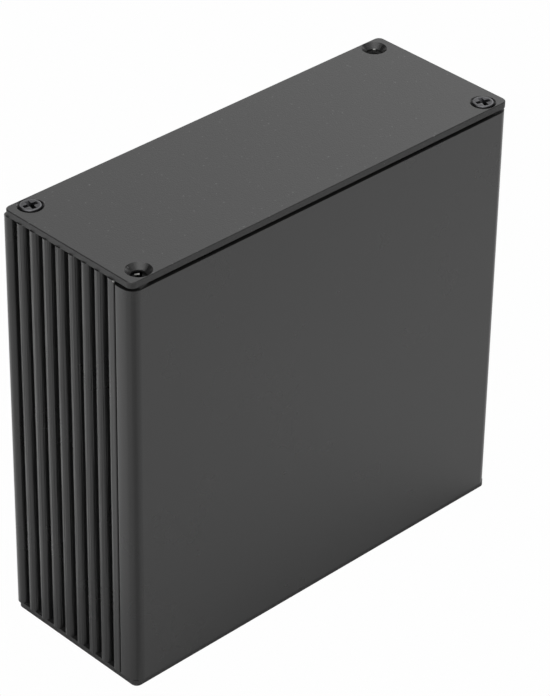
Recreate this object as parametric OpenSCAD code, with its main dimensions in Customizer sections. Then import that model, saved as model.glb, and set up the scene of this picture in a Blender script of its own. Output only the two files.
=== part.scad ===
// Split aluminium project box, stood on one end plate.
// The finned rear half is a deep channel with round-crowned fins down both sides.
// The smooth front cover laps into it, and an end plate closes each end.
// X runs across the fins, Y from the front cover to the back wall, Z along the extrusion.

/* [Body] */
// Width across the finned sides
body_width = 110; // [90:1:160]
// Depth from the smooth front to the back wall
body_depth = 40; // [34:1:60]
// Length of the finned half between the end plates
body_length = 100; // [40:1:200]
// Thickness of the front and back walls
wall = 2; // [1.6:0.1:3]
// Thickness of the side walls behind the fin grooves
side_wall = 1.6; // [1.2:0.1:2.4]

/* [Fins] */
// Spacing of the fins
fin_pitch = 4; // [3.6:0.1:5]
// Width of the groove between two fins
groove_width = 1.3; // [1:0.1:1.6]
// Depth of the groove from the crown of a fin to its round floor
groove_depth = 2.6; // [2:0.1:3]
// Rise of a fin's round crown above its straight flanks
fin_crown = 1.1; // [0.6:0.05:1.15]
// Least flat width of the last land before the seam
land_min = 1; // [0.8:0.1:1.5]

/* [Front cover] */
// Depth of the cover's legs, from its face to the seam
cover_leg = 5.2; // [4.8:0.1:7]
// Corner radius of the cover
cover_radius = 2; // [1.5:0.1:2.8]
// Gap that shows under the top end plate, because the cover is cut short
cover_gap = 0.7; // [0:0.1:1]
// Thickness of the rear half's tongue outside the lap
tongue = 1.6; // [1.2:0.1:2]
// Thickness of the lap inside the tongue
lap_wall = 1.5; // [1.2:0.1:2]
// Length that the lap reaches past the seam
lap = 1.4; // [0.8:0.1:1.6]
// Width of the seam line on each side
seam_gap = 0.15; // [0.05:0.05:0.3]
// Radius of the lips along the seam
seam_lip = 0.3; // [0.1:0.05:0.4]
// Clearance inside the lap
lap_clear = 0.1; // [0.05:0.05:0.3]

/* [End plates] */
// Thickness of an end plate
plate_thick = 1.5; // [1.2:0.1:3]
// How far a plate stays inside the outline of the body
plate_inset = 0.3; // [0:0.05:0.6]
// Corner radius of a plate
plate_radius = 1.5; // [1:0.1:3]
// Width of the broken edge round a plate's outer face
plate_edge = 0.15; // [0.1:0.05:0.5]

/* [Screws] */
// Distance from the finned side to the screw centres
screw_inset_x = 5; // [4.8:0.1:6]
// Distance from the front or back face to the screw centres
screw_inset_y = 3.4; // [3.3:0.1:5]
// Clearance hole in a plate
hole_d = 3.5; // [3.2:0.1:3.8]
// Diameter of the countersink at the plate's face
sink_d = 5.8; // [5.6:0.1:6.2]
// Radial clearance between a head and its countersink
head_clear = 0.05; // [0.02:0.01:0.1]
// Height of the straight rim of a screw head
head_rim = 0.2; // [0.1:0.05:0.3]
// Length of a screw over its head
screw_length = 8; // [6:1:16]
// Length of the chamfer at a screw's tip
tip_chamfer = 0.5; // [0.2:0.1:0.8]
// Span of the cross recess
recess_span = 3.2; // [2.6:0.1:3.6]
// Width of an arm of the cross recess
recess_arm = 0.8; // [0.5:0.1:1]
// Depth of the cross recess at its middle
recess_depth = 1.3; // [0.8:0.1:1.6]
// Turn of the cross in each fitted screw, rear left then front right
screw_turns = [-9, -20];

/* [Screw ports] */
// Bore of a screw port
port_d = 2.9; // [2.7:0.05:3]
// Wall round a port
port_wall = 1.45; // [1.2:0.05:1.8]
// Width of the opening along a port
port_slot = 1.2; // [0.8:0.1:1.4]
// Chamfer at the mouth of a port
port_lead = 0.4; // [0.2:0.05:0.5]
// Radial clearance between a screw and its port
port_clear = 0.05; // [0.02:0.01:0.1]

/* [Board rails] */
// Thickness of the circuit board that the rails take
board_thick = 1.6; // [0.8:0.1:2.4]
// Clearance over the board's thickness
board_clear = 0.2; // [0.1:0.05:0.4]
// Thickness of a rail
rail_thick = 1.2; // [0.8:0.1:1.6]
// Reach of a rail from the side wall
rail_reach = 2.5; // [1.5:0.1:3]
// Distance from the back wall to the middle of the first board
first_board = 9; // [8:0.5:12]
// Spacing of the boards
board_pitch = 10; // [6:0.5:14]
// Number of boards that the rails take
board_count = 2; // [1:1:2]

/* [Hidden] */
$fn = 64;
half_w = body_width / 2;
half_d = body_depth / 2;
// Overrun of a cut past the face that it opens
past = 1;
cover_length = body_length - cover_gap;

// A crown is the arc over one web, with the rise that fin_crown gives it
fin_web = fin_pitch - groove_width;
crown_r = (fin_web * fin_web / 4 + fin_crown * fin_crown) / (2 * fin_crown);
crown_x = half_w - crown_r;
first_fin_y = half_d - crown_r;
seam_y = cover_leg - half_d;
groove_count = floor((first_fin_y - seam_y - land_min) / fin_pitch);
land_y = first_fin_y - groove_count * fin_pitch;
inner_x = half_w - groove_depth - side_wall;

// The tongue lies outside the lap, and the side wall is cut back for the lap's end
tongue_x = half_w - tongue;
tongue_y = seam_y + seam_gap / 2;
lap_x = tongue_x - lap_clear;
lap_y = seam_y + lap;
recess_y = lap_y + lap_clear;
leg_x = lap_x - lap_wall;
leg_y = seam_y - seam_gap / 2;
lip_x = half_w - seam_lip;

plate_w = body_width - 2 * plate_inset;
plate_d = body_depth - 2 * plate_inset;
sink_depth = (sink_d - hole_d) / 2;
screw_x = half_w - screw_inset_x;
screw_y = half_d - screw_inset_y;
port_r = port_d / 2;
shank_r = port_r - port_clear;
head_r = sink_d / 2 - head_rim - head_clear;
overall_length = body_length + 2 * plate_thick;
board_slot = board_thick + board_clear;

case_colour = "#2e2e30";
plate_colour = "#3a3a3c";
screw_colour = "#48484a";

module both_sides() {
    children();
    mirror([1, 0, 0]) children();
}

// A rectangle between two corners
module slab(low, high) {
    translate(low) square(high - low);
}

// One fin groove along +X from its round floor
module groove() {
    translate([groove_width / 2, 0]) circle(d = groove_width);
    slab([groove_width / 2, -groove_width / 2], [groove_depth + past, groove_width / 2]);
}

module grooves() {
    for (k = [0:groove_count - 1])
        translate([half_w - groove_depth, first_fin_y - (k + 0.5) * fin_pitch]) groove();
}

module crowns() {
    for (k = [0:groove_count - 1])
        translate([crown_x, first_fin_y - k * fin_pitch]) circle(crown_r);
}

// The last land is round towards its groove and flat up to the seam
module seam_land() {
    lip_y = tongue_y + seam_lip;
    // Reaches into the groove, whose cut ends it
    land_end = land_y + fin_pitch / 2;
    intersection() {
        union() {
            translate([crown_x, land_y]) circle(crown_r);
            translate([lip_x, lip_y]) circle(seam_lip);
            slab([tongue_x, lip_y], [half_w, land_y]);
            slab([tongue_x, tongue_y], [lip_x, land_y]);
            slab([tongue_x, tongue_y], [crown_x, land_end]);
        }
        slab([tongue_x, tongue_y], [half_w, land_end]);
    }
}

// Rails in pairs, with one board's slot between the two of a pair
module board_rails() {
    for (k = [0:board_count - 1])
        translate([0, half_d - wall - first_board - k * board_pitch])
            for (side = [-1, 1])
                translate([inner_x - rail_reach, side * (board_slot + rail_thick) / 2 - rail_thick / 2])
                    square([rail_reach + side_wall / 2, rail_thick]);
}

module port_boss(y) {
    translate([screw_x, y]) circle(port_r + port_wall);
}

// The port's bore, with its opening turned into the box
module port_bore(y) {
    translate([screw_x, y]) {
        circle(d = port_d);
        rotate(y > 0 ? 225 : 135)
            slab([0, -port_slot / 2], [port_r + port_wall + past, port_slot / 2]);
    }
}

module rear_profile() {
    difference() {
        union() {
            slab([-crown_x, half_d - wall], [crown_x, half_d]);
            both_sides() {
                slab([inner_x, recess_y], [crown_x, half_d]);
                crowns();
                seam_land();
                board_rails();
                port_boss(screw_y);
            }
        }
        both_sides() {
            grooves();
            port_bore(screw_y);
        }
    }
}

module cover_profile() {
    corner_x = half_w - cover_radius;
    corner_y = cover_radius - half_d;
    lip_y = leg_y - seam_lip;
    difference() {
        union() {
            slab([-corner_x, -half_d], [corner_x, wall - half_d]);
            both_sides() {
                translate([corner_x, corner_y]) circle(cover_radius);
                translate([lip_x, lip_y]) circle(seam_lip);
                slab([leg_x, corner_y], [half_w, lip_y]);
                slab([leg_x, corner_y], [lip_x, leg_y]);
                slab([leg_x, -half_d], [corner_x, lap_y]);
                slab([leg_x, leg_y - past], [lap_x, lap_y]);
                port_boss(-screw_y);
            }
        }
        both_sides() port_bore(-screw_y);
    }
}

// A length of extrusion with chamfered port mouths at both ends
module extrusion(length, port_y) {
    difference() {
        linear_extrude(length) children();
        both_sides()
            translate([screw_x, port_y]) {
                port_mouth();
                translate([0, 0, length]) mirror([0, 0, 1]) port_mouth();
            }
    }
}

module port_mouth() {
    translate([0, 0, -past])
        cylinder(h = port_lead + past, r1 = port_r + port_lead + past, r2 = port_r);
}

// A bar of plate along X with its two upper edges broken
module plate_bar(length, width) {
    half = width / 2;
    rotate([90, 0, 90])
        translate([0, 0, -length / 2])
            linear_extrude(length)
                polygon([
                    [-half, 0], [half, 0],
                    [half, plate_thick - plate_edge], [half - plate_edge, plate_thick],
                    [plate_edge - half, plate_thick], [-half, plate_thick - plate_edge]
                ]);
}

module plate_corner() {
    rotate_extrude()
        polygon([
            [0, 0], [plate_radius, 0],
            [plate_radius, plate_thick - plate_edge], [plate_radius - plate_edge, plate_thick],
            [0, plate_thick]
        ]);
}

// An end plate with its outer face up
module end_plate() {
    difference() {
        union() {
            plate_bar(plate_w - 2 * plate_radius, plate_d);
            rotate(90) plate_bar(plate_d - 2 * plate_radius, plate_w);
            for (sx = [-1, 1], sy = [-1, 1])
                translate([sx * (plate_w / 2 - plate_radius), sy * (plate_d / 2 - plate_radius), 0])
                    plate_corner();
        }
        for (sx = [-1, 1], sy = [-1, 1])
            translate([sx * screw_x, sy * screw_y, 0]) sunk_hole();
    }
}

module sunk_hole() {
    translate([0, 0, -past]) cylinder(h = plate_thick + past, d = hole_d);
    translate([0, 0, plate_thick - sink_depth])
        cylinder(h = sink_depth + past, d1 = hole_d, d2 = sink_d + 2 * past);
}

// A countersunk screw with its head's face at the origin, pointing down
module sunk_screw() {
    cone_end = head_rim + head_r - shank_r;
    difference() {
        rotate_extrude()
            polygon([
                [0, 0], [head_r, 0], [head_r, -head_rim], [shank_r, -cone_end],
                [shank_r, tip_chamfer - screw_length], [shank_r - tip_chamfer, -screw_length],
                [0, -screw_length]
            ]);
        cross_recess();
    }
}

// Four arms that run out of the head as the recess narrows to its floor
module cross_recess() {
    intersection() {
        for (turn = [0, 90])
            rotate(turn)
                translate([-recess_span, -recess_arm / 2, -recess_depth])
                    cube([2 * recess_span, recess_arm, recess_depth + past]);
        translate([0, 0, -recess_depth])
            cylinder(
                h = recess_depth + past,
                r1 = recess_arm / 2,
                r2 = recess_arm / 2 + (recess_span - recess_arm) / 2 * (recess_depth + past) / recess_depth
            );
    }
}

// The fitted screws stand on one diagonal, and the other two holes are open
module fitted_screws() {
    for (k = [0, 1])
        rotate(180 * k)
            translate([-screw_x, screw_y, 0])
                rotate(screw_turns[k] - 180 * k) sunk_screw();
}

module rear_half() {
    color(case_colour)
        translate([0, 0, plate_thick]) extrusion(body_length, screw_y) rear_profile();
}

module front_cover() {
    color(case_colour)
        translate([0, 0, plate_thick]) extrusion(cover_length, -screw_y) cover_profile();
}

module top_end_plate() {
    color(plate_colour)
        translate([0, 0, plate_thick + body_length]) end_plate();
}

module bottom_end_plate() {
    color(plate_colour)
        translate([0, 0, plate_thick]) mirror([0, 0, 1]) end_plate();
}

module top_screws() {
    color(screw_colour)
        translate([0, 0, overall_length]) fitted_screws();
}

module bottom_screws() {
    color(screw_colour)
        mirror([0, 0, 1]) fitted_screws();
}

rear_half();
front_cover();
top_end_plate();
bottom_end_plate();
top_screws();
bottom_screws();
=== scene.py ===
import math

import bmesh
import bpy
from mathutils import Matrix, Vector


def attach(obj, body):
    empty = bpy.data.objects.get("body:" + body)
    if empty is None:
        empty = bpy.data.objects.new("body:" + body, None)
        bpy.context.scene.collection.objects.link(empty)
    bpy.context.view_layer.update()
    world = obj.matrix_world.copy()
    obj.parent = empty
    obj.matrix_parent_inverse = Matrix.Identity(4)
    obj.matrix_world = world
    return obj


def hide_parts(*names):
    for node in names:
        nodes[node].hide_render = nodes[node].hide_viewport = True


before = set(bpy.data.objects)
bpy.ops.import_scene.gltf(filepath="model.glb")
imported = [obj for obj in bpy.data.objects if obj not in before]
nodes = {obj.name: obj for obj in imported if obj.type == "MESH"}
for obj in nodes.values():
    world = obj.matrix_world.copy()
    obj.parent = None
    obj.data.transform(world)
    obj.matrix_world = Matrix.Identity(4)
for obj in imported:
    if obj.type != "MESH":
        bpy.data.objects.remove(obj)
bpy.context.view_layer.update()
mm = 0.001  # in metres
weld = 1e-6  # metres, points closer than this are one
sharpFrom = math.radians(35)  # edges that turn by more stay sharp
noiseRange = (0.3, 0.7)  # where most of a noise pattern lies
print("frame loaded:", ", ".join(sorted(nodes)))


def srgb(hexColour):
    parts = [int(hexColour[i:i + 2], 16) / 255 for i in (1, 3, 5)]
    linear = [p / 12.92 if p <= 0.04045 else ((p + 0.055) / 1.055) ** 2.4 for p in parts]
    return (*linear, 1.0)


# A number in settings or links is the place of a socket, a word is its name
def addNode(tree, kind, settings=None, links=None):
    node = tree.nodes.new(kind)
    for name, value in (settings or {}).items():
        if isinstance(name, int) or name in node.inputs:
            node.inputs[name].default_value = value
        else:
            setattr(node, name, value)
    for socket, source in (links or {}).items():
        tree.links.new(source, node.inputs[socket])
    return node


def newMaterial(name):
    material = bpy.data.materials.new(name)
    material.use_nodes = True
    tree = material.node_tree
    return material, tree, tree.nodes["Principled BSDF"]


# Position in the shared frame, in mm
def millimetres(tree):
    place = addNode(tree, "ShaderNodeTexCoord")
    return addNode(
        tree, "ShaderNodeVectorMath", {"operation": "SCALE", "Scale": 1 / mm}, {0: place.outputs["Object"]}
    ).outputs[0]


# One within a radius of the four screw axes, else nought
def nearAxes(tree, place, spot):
    x, y, radius = spot
    corner = addNode(tree, "ShaderNodeVectorMath", {"operation": "ABSOLUTE"}, {0: place})
    fromAxis = addNode(
        tree, "ShaderNodeVectorMath", {"operation": "SUBTRACT", 1: (x, y, 0)}, {0: corner.outputs[0]}
    )
    flat = addNode(
        tree, "ShaderNodeVectorMath", {"operation": "MULTIPLY", 1: (1, 1, 0)}, {0: fromAxis.outputs[0]}
    )
    reach = addNode(tree, "ShaderNodeVectorMath", {"operation": "LENGTH"}, {0: flat.outputs[0]})
    return addNode(
        tree, "ShaderNodeMath", {"operation": "LESS_THAN", 1: radius}, {0: reach.outputs["Value"]}
    ).outputs[0]


# Roughness that drifts between a finish's two values in soft patches
def mottled(tree, place, finish):
    patches = addNode(
        tree, "ShaderNodeTexNoise", {"Scale": 1 / finish["mottle"], "Detail": 3}, {"Vector": place}
    )
    least, most = noiseRange
    low, high = finish["roughness"]
    return addNode(
        tree, "ShaderNodeMapRange", {1: least, 2: most, 3: low, 4: high}, {0: patches.outputs["Fac"]}
    ).outputs[0]


def newPiece(name, bm, material):
    mesh = bpy.data.meshes.new(name)
    bm.to_mesh(mesh)
    bm.free()
    mesh.materials.append(material)
    piece = bpy.data.objects.new(name, mesh)
    bpy.context.collection.objects.link(piece)
    return piece


def smoothShade(mesh):
    mesh.shade_smooth()
    mesh.set_sharp_from_angle(angle=sharpFrom)


# Adds a shape drawn in mm to a whole, turned by degrees and put in its place
def addInPlace(whole, bm, spot, turn):
    place = Matrix.Translation(Vector(spot) * mm) @ Matrix.Rotation(math.radians(turn), 4, "Z")
    bmesh.ops.transform(bm, matrix=place @ Matrix.Scale(mm, 4), verts=bm.verts)
    part = bpy.data.meshes.new("part")
    bm.to_mesh(part)
    bm.free()
    whole.from_mesh(part)
    bpy.data.meshes.remove(part)


# Camera at the photo's angle
camera = {
    "eye": (-413.56, -427.58, 450.58),  # mm
    "target": (4.444, -0.058, 51.5),  # mm
    "roll": 0.969,  # degrees
    "lens": 168.84,  # mm
    "sensor": 36,  # mm
}


def placeCamera():
    data = bpy.data.cameras.new("camera")
    data.lens = camera["lens"]
    data.sensor_width = camera["sensor"]
    cam = bpy.data.objects.new("camera", data)
    bpy.context.collection.objects.link(cam)
    eye = Vector(camera["eye"])
    look = (Vector(camera["target"]) - eye).to_track_quat("-Z", "Y").to_matrix()
    turn = look @ Matrix.Rotation(math.radians(camera["roll"]), 3, "Z")
    cam.matrix_world = Matrix.Translation(eye * mm) @ turn.to_4x4()
    bpy.context.scene.camera = cam


placeCamera()
print("camera placed")


# Finish of the two extruded halves
extrusion = {
    "colour": "#1c1c1c",
    "roughness": (0.27, 0.29),
    "mottle": 14,  # mm
    "dieLine": 0.4,  # mm across, drawn coarser than real ones so that they show
    "dieDepth": 0.2,  # mm, deeper for the same reason
    "dieRun": 30,  # mm along the extrusion
    "fins": (2, 14, 16.8),  # mm, y of their middle, from there to where the lines fade and end
    "grain": 0.3,  # mm
    "relief": 0.004,  # mm
    "port": (50, 16.6, 1.8),  # mm, x and y of the ports and the radius that is dull
    "sawnRoughness": 1,
    "chip": (-55, -14.6, 101.4),  # mm, a corner of the rear half knocked bare
    "chipSize": 0.3,  # mm
    "chipWear": 0.4,
    "bare": "#bcbcba",
    "bareRoughness": 0.4,
}


# Satin black: dim, wide highlights that roll over the fins, with faint lines along the length
def satinBlackAnodised():
    material, tree, shader = newMaterial("satinBlackAnodised")
    place = millimetres(tree)
    across = 1 / extrusion["dieLine"]
    stretched = addNode(
        tree, "ShaderNodeVectorMath",
        {"operation": "MULTIPLY", 1: (across, across, 1 / extrusion["dieRun"])}, {0: place},
    )
    lines = addNode(
        tree, "ShaderNodeTexNoise", {"Scale": 1, "Detail": 2}, {"Vector": stretched.outputs[0]}
    )
    # The lines fade out before the seam and the back
    axes = addNode(tree, "ShaderNodeSeparateXYZ", None, {0: place})
    middle, fade, end = extrusion["fins"]
    offFins = addNode(
        tree, "ShaderNodeMath", {"operation": "SUBTRACT", 1: middle}, {0: axes.outputs["Y"]}
    )
    fromFins = addNode(tree, "ShaderNodeMath", {"operation": "ABSOLUTE"}, {0: offFins.outputs[0]})
    depth = addNode(
        tree, "ShaderNodeMapRange", {1: fade, 2: end, 3: extrusion["dieDepth"], 4: 0},
        {0: fromFins.outputs[0]},
    )
    dieLines = addNode(
        tree, "ShaderNodeMath", {"operation": "MULTIPLY"},
        {0: lines.outputs["Fac"], 1: depth.outputs[0]},
    )
    grain = addNode(
        tree, "ShaderNodeTexNoise", {"Scale": 1 / extrusion["grain"], "Detail": 1}, {"Vector": place}
    )
    height = addNode(
        tree, "ShaderNodeMath", {"operation": "MULTIPLY_ADD", 1: extrusion["relief"]},
        {0: grain.outputs["Fac"], 2: dieLines.outputs[0]},
    )
    bump = addNode(
        tree, "ShaderNodeBump", {"Strength": 1, "Distance": mm}, {"Height": height.outputs[0]}
    )
    # The ports and their sawn ends are left rough, so they are dull
    sawn = nearAxes(tree, place, extrusion["port"])
    satinOrSawn = addNode(
        tree, "ShaderNodeMix", {3: extrusion["sawnRoughness"]},
        {0: sawn, 2: mottled(tree, place, extrusion)},
    )
    toChip = addNode(
        tree, "ShaderNodeVectorMath", {"operation": "DISTANCE", 1: extrusion["chip"]}, {0: place}
    )
    chip = addNode(
        tree, "ShaderNodeMath", {"operation": "LESS_THAN", 1: extrusion["chipSize"]},
        {0: toChip.outputs["Value"]},
    )
    bare = addNode(
        tree, "ShaderNodeMath", {"operation": "MULTIPLY", 1: extrusion["chipWear"]}, {0: chip.outputs[0]}
    ).outputs[0]
    colour = addNode(
        tree, "ShaderNodeMix",
        {"data_type": "RGBA", 6: srgb(extrusion["colour"]), 7: srgb(extrusion["bare"])}, {0: bare},
    )
    roughness = addNode(
        tree, "ShaderNodeMix", {3: extrusion["bareRoughness"]}, {0: bare, 2: satinOrSawn.outputs[0]}
    )
    tree.links.new(colour.outputs[2], shader.inputs["Base Color"])
    tree.links.new(bare, shader.inputs["Metallic"])
    tree.links.new(roughness.outputs[0], shader.inputs["Roughness"])
    tree.links.new(bump.outputs[0], shader.inputs["Normal"])
    return material


# Finish of the end plates
sheet = {
    "colour": "#1c1c1c",
    "roughness": (0.35, 0.37),
    "mottle": 9,  # mm
    "grain": 0.3,  # mm, drawn coarser than real blasting so that it shows
    "relief": 0.03,  # mm
    "glintSpacing": 0.6,  # mm between places for a painted glint
    "glintRange": (0.79, 0.87),  # of the noise, where a painted glint begins and where it is full
    # colour of the painted glints
    "paintedGlintColour": "#464646",
    "sink": (50, 16.6, 2.9),  # mm, x and y of the holes and the radius of their sinks
    "cutRoughness": 0.24,
    "shearedRoughness": 0.55,
    "upright": 0.5,  # faces whose normal rises less than this are sheared edges
}


# Fine-blasted black: a little paler and drier than the extrusions, with an even grain and painted glints on
# a few grains
def blastedBlackAnodised():
    material, tree, shader = newMaterial("blastedBlackAnodised")
    place = millimetres(tree)
    grain = addNode(
        tree, "ShaderNodeTexNoise", {"Scale": 1 / sheet["grain"], "Detail": 2}, {"Vector": place}
    )
    bump = addNode(
        tree, "ShaderNodeBump", {"Strength": 1, "Distance": sheet["relief"] * mm},
        {"Height": grain.outputs["Fac"]},
    )
    # A few grains of the blasting catch the light: painted glints, drawn as spots of lighter base colour
    glintNoise = addNode(
        tree, "ShaderNodeTexNoise", {"Scale": 1 / sheet["glintSpacing"], "Detail": 0}, {"Vector": place}
    )
    begin, full = sheet["glintRange"]
    bright = addNode(tree, "ShaderNodeMapRange", {1: begin, 2: full}, {0: glintNoise.outputs["Fac"]})
    colour = addNode(
        tree, "ShaderNodeMix",
        {"data_type": "RGBA", 6: srgb(sheet["colour"]), 7: srgb(sheet["paintedGlintColour"])},
        {0: bright.outputs[0]},
    )
    # The sinks are cut, so they are smoother than the blasted faces
    cut = nearAxes(tree, place, sheet["sink"])
    blastedOrCut = addNode(
        tree, "ShaderNodeMix", {3: sheet["cutRoughness"]}, {0: cut, 2: mottled(tree, place, sheet)}
    )
    # The edges are sheared, so they are duller
    facing = addNode(tree, "ShaderNodeTexCoord").outputs["Normal"]
    rise = addNode(tree, "ShaderNodeSeparateXYZ", None, {0: facing}).outputs["Z"]
    tilt = addNode(tree, "ShaderNodeMath", {"operation": "ABSOLUTE"}, {0: rise})
    sheared = addNode(
        tree, "ShaderNodeMath", {"operation": "LESS_THAN", 1: sheet["upright"]}, {0: tilt.outputs[0]}
    )
    roughness = addNode(
        tree, "ShaderNodeMix", {3: sheet["shearedRoughness"]},
        {0: sheared.outputs[0], 2: blastedOrCut.outputs[0]},
    )
    tree.links.new(colour.outputs[2], shader.inputs["Base Color"])
    tree.links.new(roughness.outputs[0], shader.inputs["Roughness"])
    tree.links.new(bump.outputs[0], shader.inputs["Normal"])
    return material


# Finish of the screws
steel = {
    "colour": "#49494b",
    "roughness": (0.26, 0.38),
    "mottle": 0.8,  # mm
    # paler metal on the rim of a head, a painted highlight
    "paintedRimHighlight": "#58585a",
    "inner": (50, 16.6, 1.95),  # mm, x and y of the screws and the radius where the painted highlight on the rim begins
}


# Blackened steel: harder, patchy reflections beside the satin plates
def blackenedSteel():
    material, tree, shader = newMaterial("blackenedSteel")
    place = millimetres(tree)
    # The rim of a head is painted paler, a painted highlight that brightens its reflections
    inside = nearAxes(tree, place, steel["inner"])
    colour = addNode(
        tree, "ShaderNodeMix",
        {"data_type": "RGBA", 6: srgb(steel["paintedRimHighlight"]), 7: srgb(steel["colour"])}, {0: inside},
    )
    tree.links.new(colour.outputs[2], shader.inputs["Base Color"])
    shader.inputs["Metallic"].default_value = 1
    tree.links.new(mottled(tree, place, steel), shader.inputs["Roughness"])
    return material


satin = satinBlackAnodised()
blasted = blastedBlackAnodised()
blackened = blackenedSteel()
finishes = {
    "rear_half": satin,
    "top_end_plate": blasted,
    "bottom_end_plate": blasted,
    "bottom_screws": blackened,
}
for name, finish in finishes.items():
    nodes[name].data.materials.clear()
    nodes[name].data.materials.append(finish)
print("finishes on", len(finishes), "nodes")


# Front cover: each leg is a little crowned and leans into a corner that is wider across the front
cover = {
    "side": 55,  # mm, as all the lengths here
    "front": -20,
    "seam": -14.87,
    "lip": 0.3,  # radius
    "plain": 2,  # radius of the plain corner
    "corner": (1.9, 2.2),  # the corner's shaped width across the front, before it leans, and along the leg
    "crownAt": 1.2,  # from the seam to the top of the crown
    "crown": 12,  # radius
    "rolled": 0.6,  # width that rolls over towards the seam
    "roll": 3,  # radius
    "lines": 20,  # strips cut along each leg
    "slack": 0.01,  # allowed when a point is counted as on a face
}


# Where a point on a leg or its corner goes, with x counted outwards
def shapedLeg(x, y):
    side, front, seam, plain = (cover[key] for key in ("side", "front", "seam", "plain"))
    across, along = cover["corner"]
    if y < front + plain:
        x = side - (side - x) * across / plain
        y = front + (y - front) * along / plain
    else:
        y = seam + (y - seam) * (seam - front - along) / (seam - front - plain)
    fromSeam = seam - y
    crownDrop = (fromSeam - cover["crownAt"]) ** 2 / (2 * cover["crown"])
    rollDrop = max(cover["rolled"] - fromSeam, 0) ** 2 / (2 * cover["roll"])
    return x - crownDrop - rollDrop, y


# Faces of the legs' flat outer sides
def legSides(bm):
    outermost = cover["side"] - cover["slack"]
    return [f for f in bm.faces if all(abs(v.co.x) / mm > outermost for v in f.verts)]


def shapeCover():
    bm = bmesh.new()
    bm.from_mesh(nodes["front_cover"].data)
    bmesh.ops.remove_doubles(bm, verts=bm.verts, dist=weld)
    sides = set(legSides(bm))
    within = [e for e in bm.edges if sides.issuperset(e.link_faces)]
    bmesh.ops.dissolve_edges(bm, edges=within, use_verts=False)
    first = cover["seam"] - cover["lip"]
    last = cover["front"] + cover["plain"]
    for k in range(1, cover["lines"]):
        level = first + (last - first) * k / cover["lines"]
        sides = legSides(bm)
        edges = list(dict.fromkeys(e for f in sides for e in f.edges))
        bmesh.ops.bisect_plane(
            bm, geom=sides + edges, dist=weld, plane_co=(0, level * mm, 0), plane_no=(0, 1, 0)
        )
    outermost = cover["side"] - cover["slack"]
    for vert in bm.verts:
        x, y, z = vert.co / mm
        onLeg = abs(x) > outermost - cover["lip"] and y < cover["seam"] + cover["slack"]
        onCorner = abs(x) > outermost - cover["plain"] and y < last + cover["slack"]
        if onLeg or onCorner:
            newX, newY = shapedLeg(abs(x), y)
            vert.co = Vector((math.copysign(newX, x), newY, z)) * mm
    piece = newPiece("frontCover", bm, satin)
    smoothShade(piece.data)
    piece.modifiers.new("weightedNormals", "WEIGHTED_NORMAL").keep_sharp = True
    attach(piece, "root")
    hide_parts("front_cover")
    return len(piece.data.polygons)


print("cover shaped,", shapeCover(), "faces")


# Burrs at the sawn end of one empty port and in the hole over the other, which glint there
burr = {
    "inner": 1.55,  # mm, as all the lengths here
    "outer": 1.75,
    "height": 0.2,
    "steps": 12,
    "colour": "#727270",
    "roughness": 0.4,
    "places": (
        (-50, -16.6, 100.8, 42, 80),  # x, y and level, then the turns in degrees that it runs between
        (50, 16.6, 101.7, 33, 53),
    ),
}


# Bare aluminium: a small glint against the black round it
def bareAluminium():
    material, _, shader = newMaterial("bareAluminium")
    shader.inputs["Base Color"].default_value = srgb(burr["colour"])
    shader.inputs["Metallic"].default_value = 1
    shader.inputs["Roughness"].default_value = burr["roughness"]
    return material


def leaveBurrs():
    whole = bmesh.new()
    corners = ((burr["inner"], 0), (burr["outer"], 0), (burr["outer"], burr["height"]))
    for x, y, level, start, stop in burr["places"]:
        bm = bmesh.new()
        face = bm.faces.new([bm.verts.new((r, 0, z)) for r, z in corners])
        bmesh.ops.spin(
            bm, geom=[face, *face.edges, *face.verts], cent=(0, 0, 0), axis=(0, 0, 1),
            angle=math.radians(stop - start), steps=burr["steps"],
        )
        bmesh.ops.recalc_face_normals(bm, faces=bm.faces)
        addInPlace(whole, bm, (x, y, level), start)
    piece = newPiece("portBurrs", whole, bareAluminium())
    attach(piece, "root")
    return len(piece.data.polygons)


print("burrs left,", leaveBurrs(), "faces")


# Top screws, whose heads stand a little above the plate
screw = {
    "head": 4.7,  # mm across, and all the lengths here are in mm
    "proud": 0.25,  # above the plate
    "rim": 0.75,  # height of the head above its cone
    "rimRound": 0.28,
    "rimSteps": 4,
    "shank": 2.8,
    "length": 8,  # with the head
    "tip": 0.5,  # chamfer
    "span": 3.4,  # of the cross at its mouth
    "arm": 0.95,
    "recess": 1.5,  # depth of the cross
    "recessSpan": 1.3,  # of the cross at its floor
    "recessArm": 0.6,
    "recessRound": 0.13,  # of its mouth
    "steps": 64,
    "plateTop": 103,
    "places": ((-50, 16.6, -9), (50, -16.6, -20)),  # x, y and the turn of the cross in degrees
}


# Half outline of a screw from the rounded rim of its head down to its tip
def headProfile():
    edge = screw["head"] / 2
    top = screw["proud"]
    rounding = screw["rimRound"]
    shank = screw["shank"] / 2
    points = []
    for k in range(screw["rimSteps"] + 1):
        turn = math.radians(90 - 90 * k / screw["rimSteps"])
        points.append((edge - rounding * (1 - math.cos(turn)), top - rounding * (1 - math.sin(turn))))
    coneTop = top - screw["rim"]
    end = top - screw["length"]
    points.append((edge, coneTop))
    points.append((shank, coneTop - edge + shank))
    points.append((shank, end + screw["tip"]))
    points.append((shank - screw["tip"], end))
    points.append((0, end))
    return points


# Closed loop of edges in the shape of a cross
def drawCross(bm, span, arm, level):
    s = span / 2
    a = arm / 2
    quarter = [(s, -a), (s, a), (a, a)]
    points = [Matrix.Rotation(math.radians(90 * k), 2) @ Vector(p) for k in range(4) for p in quarter]
    verts = [bm.verts.new((*p, level)) for p in points]
    return [bm.edges.new((verts[k - 1], verts[k])) for k in range(len(verts))]


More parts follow.
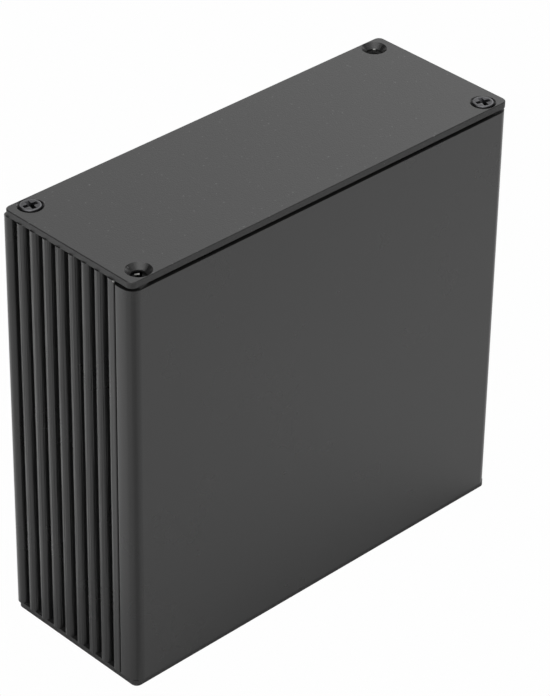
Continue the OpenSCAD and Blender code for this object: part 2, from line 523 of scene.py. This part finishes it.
def turnScrew():
    bm = bmesh.new()
    ring = [bm.verts.new((r, 0, z)) for r, z in headProfile()]
    line = [bm.edges.new(pair) for pair in zip(ring, ring[1:])]
    bmesh.ops.spin(
        bm, geom=ring + line, cent=(0, 0, 0), axis=(0, 0, 1), angle=math.tau,
        steps=screw["steps"], use_merge=True,
    )
    bmesh.ops.remove_doubles(bm, verts=bm.verts, dist=weld)
    rim = [e for e in bm.edges if e.is_boundary]
    mouth = drawCross(bm, screw["span"], screw["arm"], screw["proud"])
    bmesh.ops.triangle_fill(bm, edges=rim + mouth, use_beauty=True)
    floor = drawCross(bm, screw["recessSpan"], screw["recessArm"], screw["proud"] - screw["recess"])
    bmesh.ops.bridge_loops(bm, edges=mouth + floor)
    bmesh.ops.edgeloop_fill(bm, edges=floor)
    bmesh.ops.recalc_face_normals(bm, faces=bm.faces)
    bmesh.ops.bevel(
        bm, geom=mouth, offset=screw["recessRound"], affect="EDGES", segments=2, profile=0.5, material=-1
    )
    return bm


def setScrews():
    whole = bmesh.new()
    for x, y, turn in screw["places"]:
        addInPlace(whole, turnScrew(), (x, y, screw["plateTop"]), turn)
    piece = newPiece("topScrews", whole, blackened)
    smoothShade(piece.data)
    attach(piece, "root")
    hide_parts("top_screws")
    return len(piece.data.polygons)


print("screws set,", setScrews(), "faces")


# White table and the plain white that the camera sees in its place
table = {
    "size": 8000,  # mm across
    "level": -0.1,  # mm, just under the box
    "colour": "#e7e7e7",
    "shade": "#bcbcbc",  # painted shade before the camera, which keeps some light off the table
    "shadeWedge": ((-55, -20, 0), -124, 32),  # mm of a corner of the box, heading and half-angle in degrees
    "glow": "#ffffff",  # painted pool of light behind the finned side, nearer to a lamp
    "glowWedge": ((-55, 20, 0), 115, 60),
    "paper": "#fefefe",
    "paperLevel": -0.05,  # mm
}


def layPlane(name, level, material):
    bm = bmesh.new()
    bmesh.ops.create_grid(bm, x_segments=1, y_segments=1, size=table["size"] / 2 * mm)
    bmesh.ops.translate(bm, vec=(0, 0, level * mm), verts=bm.verts)
    piece = newPiece(name, bm, material)
    return piece


# One along a heading from a corner of the box, nought past the half-angle
def wedge(tree, place, corner, heading, half):
    turn = math.radians(heading)
    out = addNode(tree, "ShaderNodeVectorMath", {"operation": "SUBTRACT", 1: corner}, {0: place})
    bearing = addNode(tree, "ShaderNodeVectorMath", {"operation": "NORMALIZE"}, {0: out.outputs[0]})
    along = (math.cos(turn), math.sin(turn), 0)
    facing = addNode(
        tree, "ShaderNodeVectorMath", {"operation": "DOT_PRODUCT", 1: along}, {0: bearing.outputs[0]}
    )
    return addNode(
        tree, "ShaderNodeMapRange",
        {"interpolation_type": "SMOOTHSTEP", 1: math.cos(math.radians(half)), 2: 1},
        {0: facing.outputs["Value"]},
    ).outputs[0]


# Matt white with painted shade and a painted pool of light: throws soft light up at the box and is mirrored
# in its satin sides
def whiteTable():
    material, tree, shader = newMaterial("mattWhite")
    place = millimetres(tree)
    # Painted shade in a wedge before the camera, then a painted pool of light behind the finned side
    shaded = addNode(
        tree, "ShaderNodeMix",
        {"data_type": "RGBA", 6: srgb(table["colour"]), 7: srgb(table["shade"])},
        {0: wedge(tree, place, *table["shadeWedge"])},
    )
    colour = addNode(
        tree, "ShaderNodeMix", {"data_type": "RGBA", 7: srgb(table["glow"])},
        {0: wedge(tree, place, *table["glowWedge"]), 6: shaded.outputs[2]},
    )
    tree.links.new(colour.outputs[2], shader.inputs["Base Color"])
    shader.inputs["Roughness"].default_value = 1
    shader.inputs["Specular IOR Level"].default_value = 0
    layPlane("table", table["level"], material).visible_camera = False


# Glowing white: a background without any shadow
def whitePaper():
    material, _, shader = newMaterial("glowingWhite")
    shader.inputs["Base Color"].default_value = srgb("#000000")
    shader.inputs["Specular IOR Level"].default_value = 0
    shader.inputs["Emission Color"].default_value = srgb(table["paper"])
    shader.inputs["Emission Strength"].default_value = 1
    paper = layPlane("floor", table["paperLevel"], material)
    paper.visible_diffuse = False
    paper.visible_glossy = False
    paper.visible_shadow = False


whiteTable()
whitePaper()
print("table laid")


# Soft light over the table: azimuth and elevation in degrees, then strength
studio = {
    "tight": 20,  # the higher, the smaller each patch of light
    "lights": {
        "top": (0, 81, 1.37),
        "left": (175, 35, 3.16),
        "highLeft": (-160, 62, 1.51),
        "nearLeft": (-140, 42, 1.14),
        "lowLeft": (-140, 20, 2.22),
        "front": (-95, 52, 0.93),
        "highFront": (-120, 60, 1.03),
        "highRight": (-44, 48, 0.9),
        "right": (7, 21, 1.2),
        "rightBack": (20, 45, 1.53),
        "lowRight": (30, 12, 1.71),
        "highBack": (52, 64, 1.98),
        "back": (70, 20, 1.4),
        "leftBack": (140, 64, 0.26),
    },
}


def lightStudio():
    world = bpy.data.worlds.new("studio")
    bpy.context.scene.world = world
    world.use_nodes = True
    tree = world.node_tree
    toSky = addNode(tree, "ShaderNodeTexCoord").outputs["Generated"]
    tight = studio["tight"]
    total = None
    for azimuth, elevation, strength in studio["lights"].values():
        a = math.radians(azimuth)
        e = math.radians(elevation)
        middle = (math.cos(e) * math.cos(a), math.cos(e) * math.sin(a), math.sin(e))
        towards = addNode(
            tree, "ShaderNodeVectorMath", {"operation": "DOT_PRODUCT", 1: middle}, {0: toSky}
        )
        falloff = addNode(
            tree, "ShaderNodeMath", {"operation": "MULTIPLY_ADD", 1: tight, 2: -tight},
            {0: towards.outputs["Value"]},
        )
        glow = addNode(tree, "ShaderNodeMath", {"operation": "EXPONENT"}, {0: falloff.outputs[0]})
        links = {0: glow.outputs[0]}
        if total:
            links[2] = total
        total = addNode(
            tree, "ShaderNodeMath", {"operation": "MULTIPLY_ADD", 1: strength, 2: 0}, links
        ).outputs[0]
    tree.links.new(total, tree.nodes["Background"].inputs["Strength"])
    tree.nodes["Background"].inputs["Color"].default_value = srgb("#ffffff")


lightStudio()
bpy.context.scene.view_settings.view_transform = "Standard"
print("studio lit")
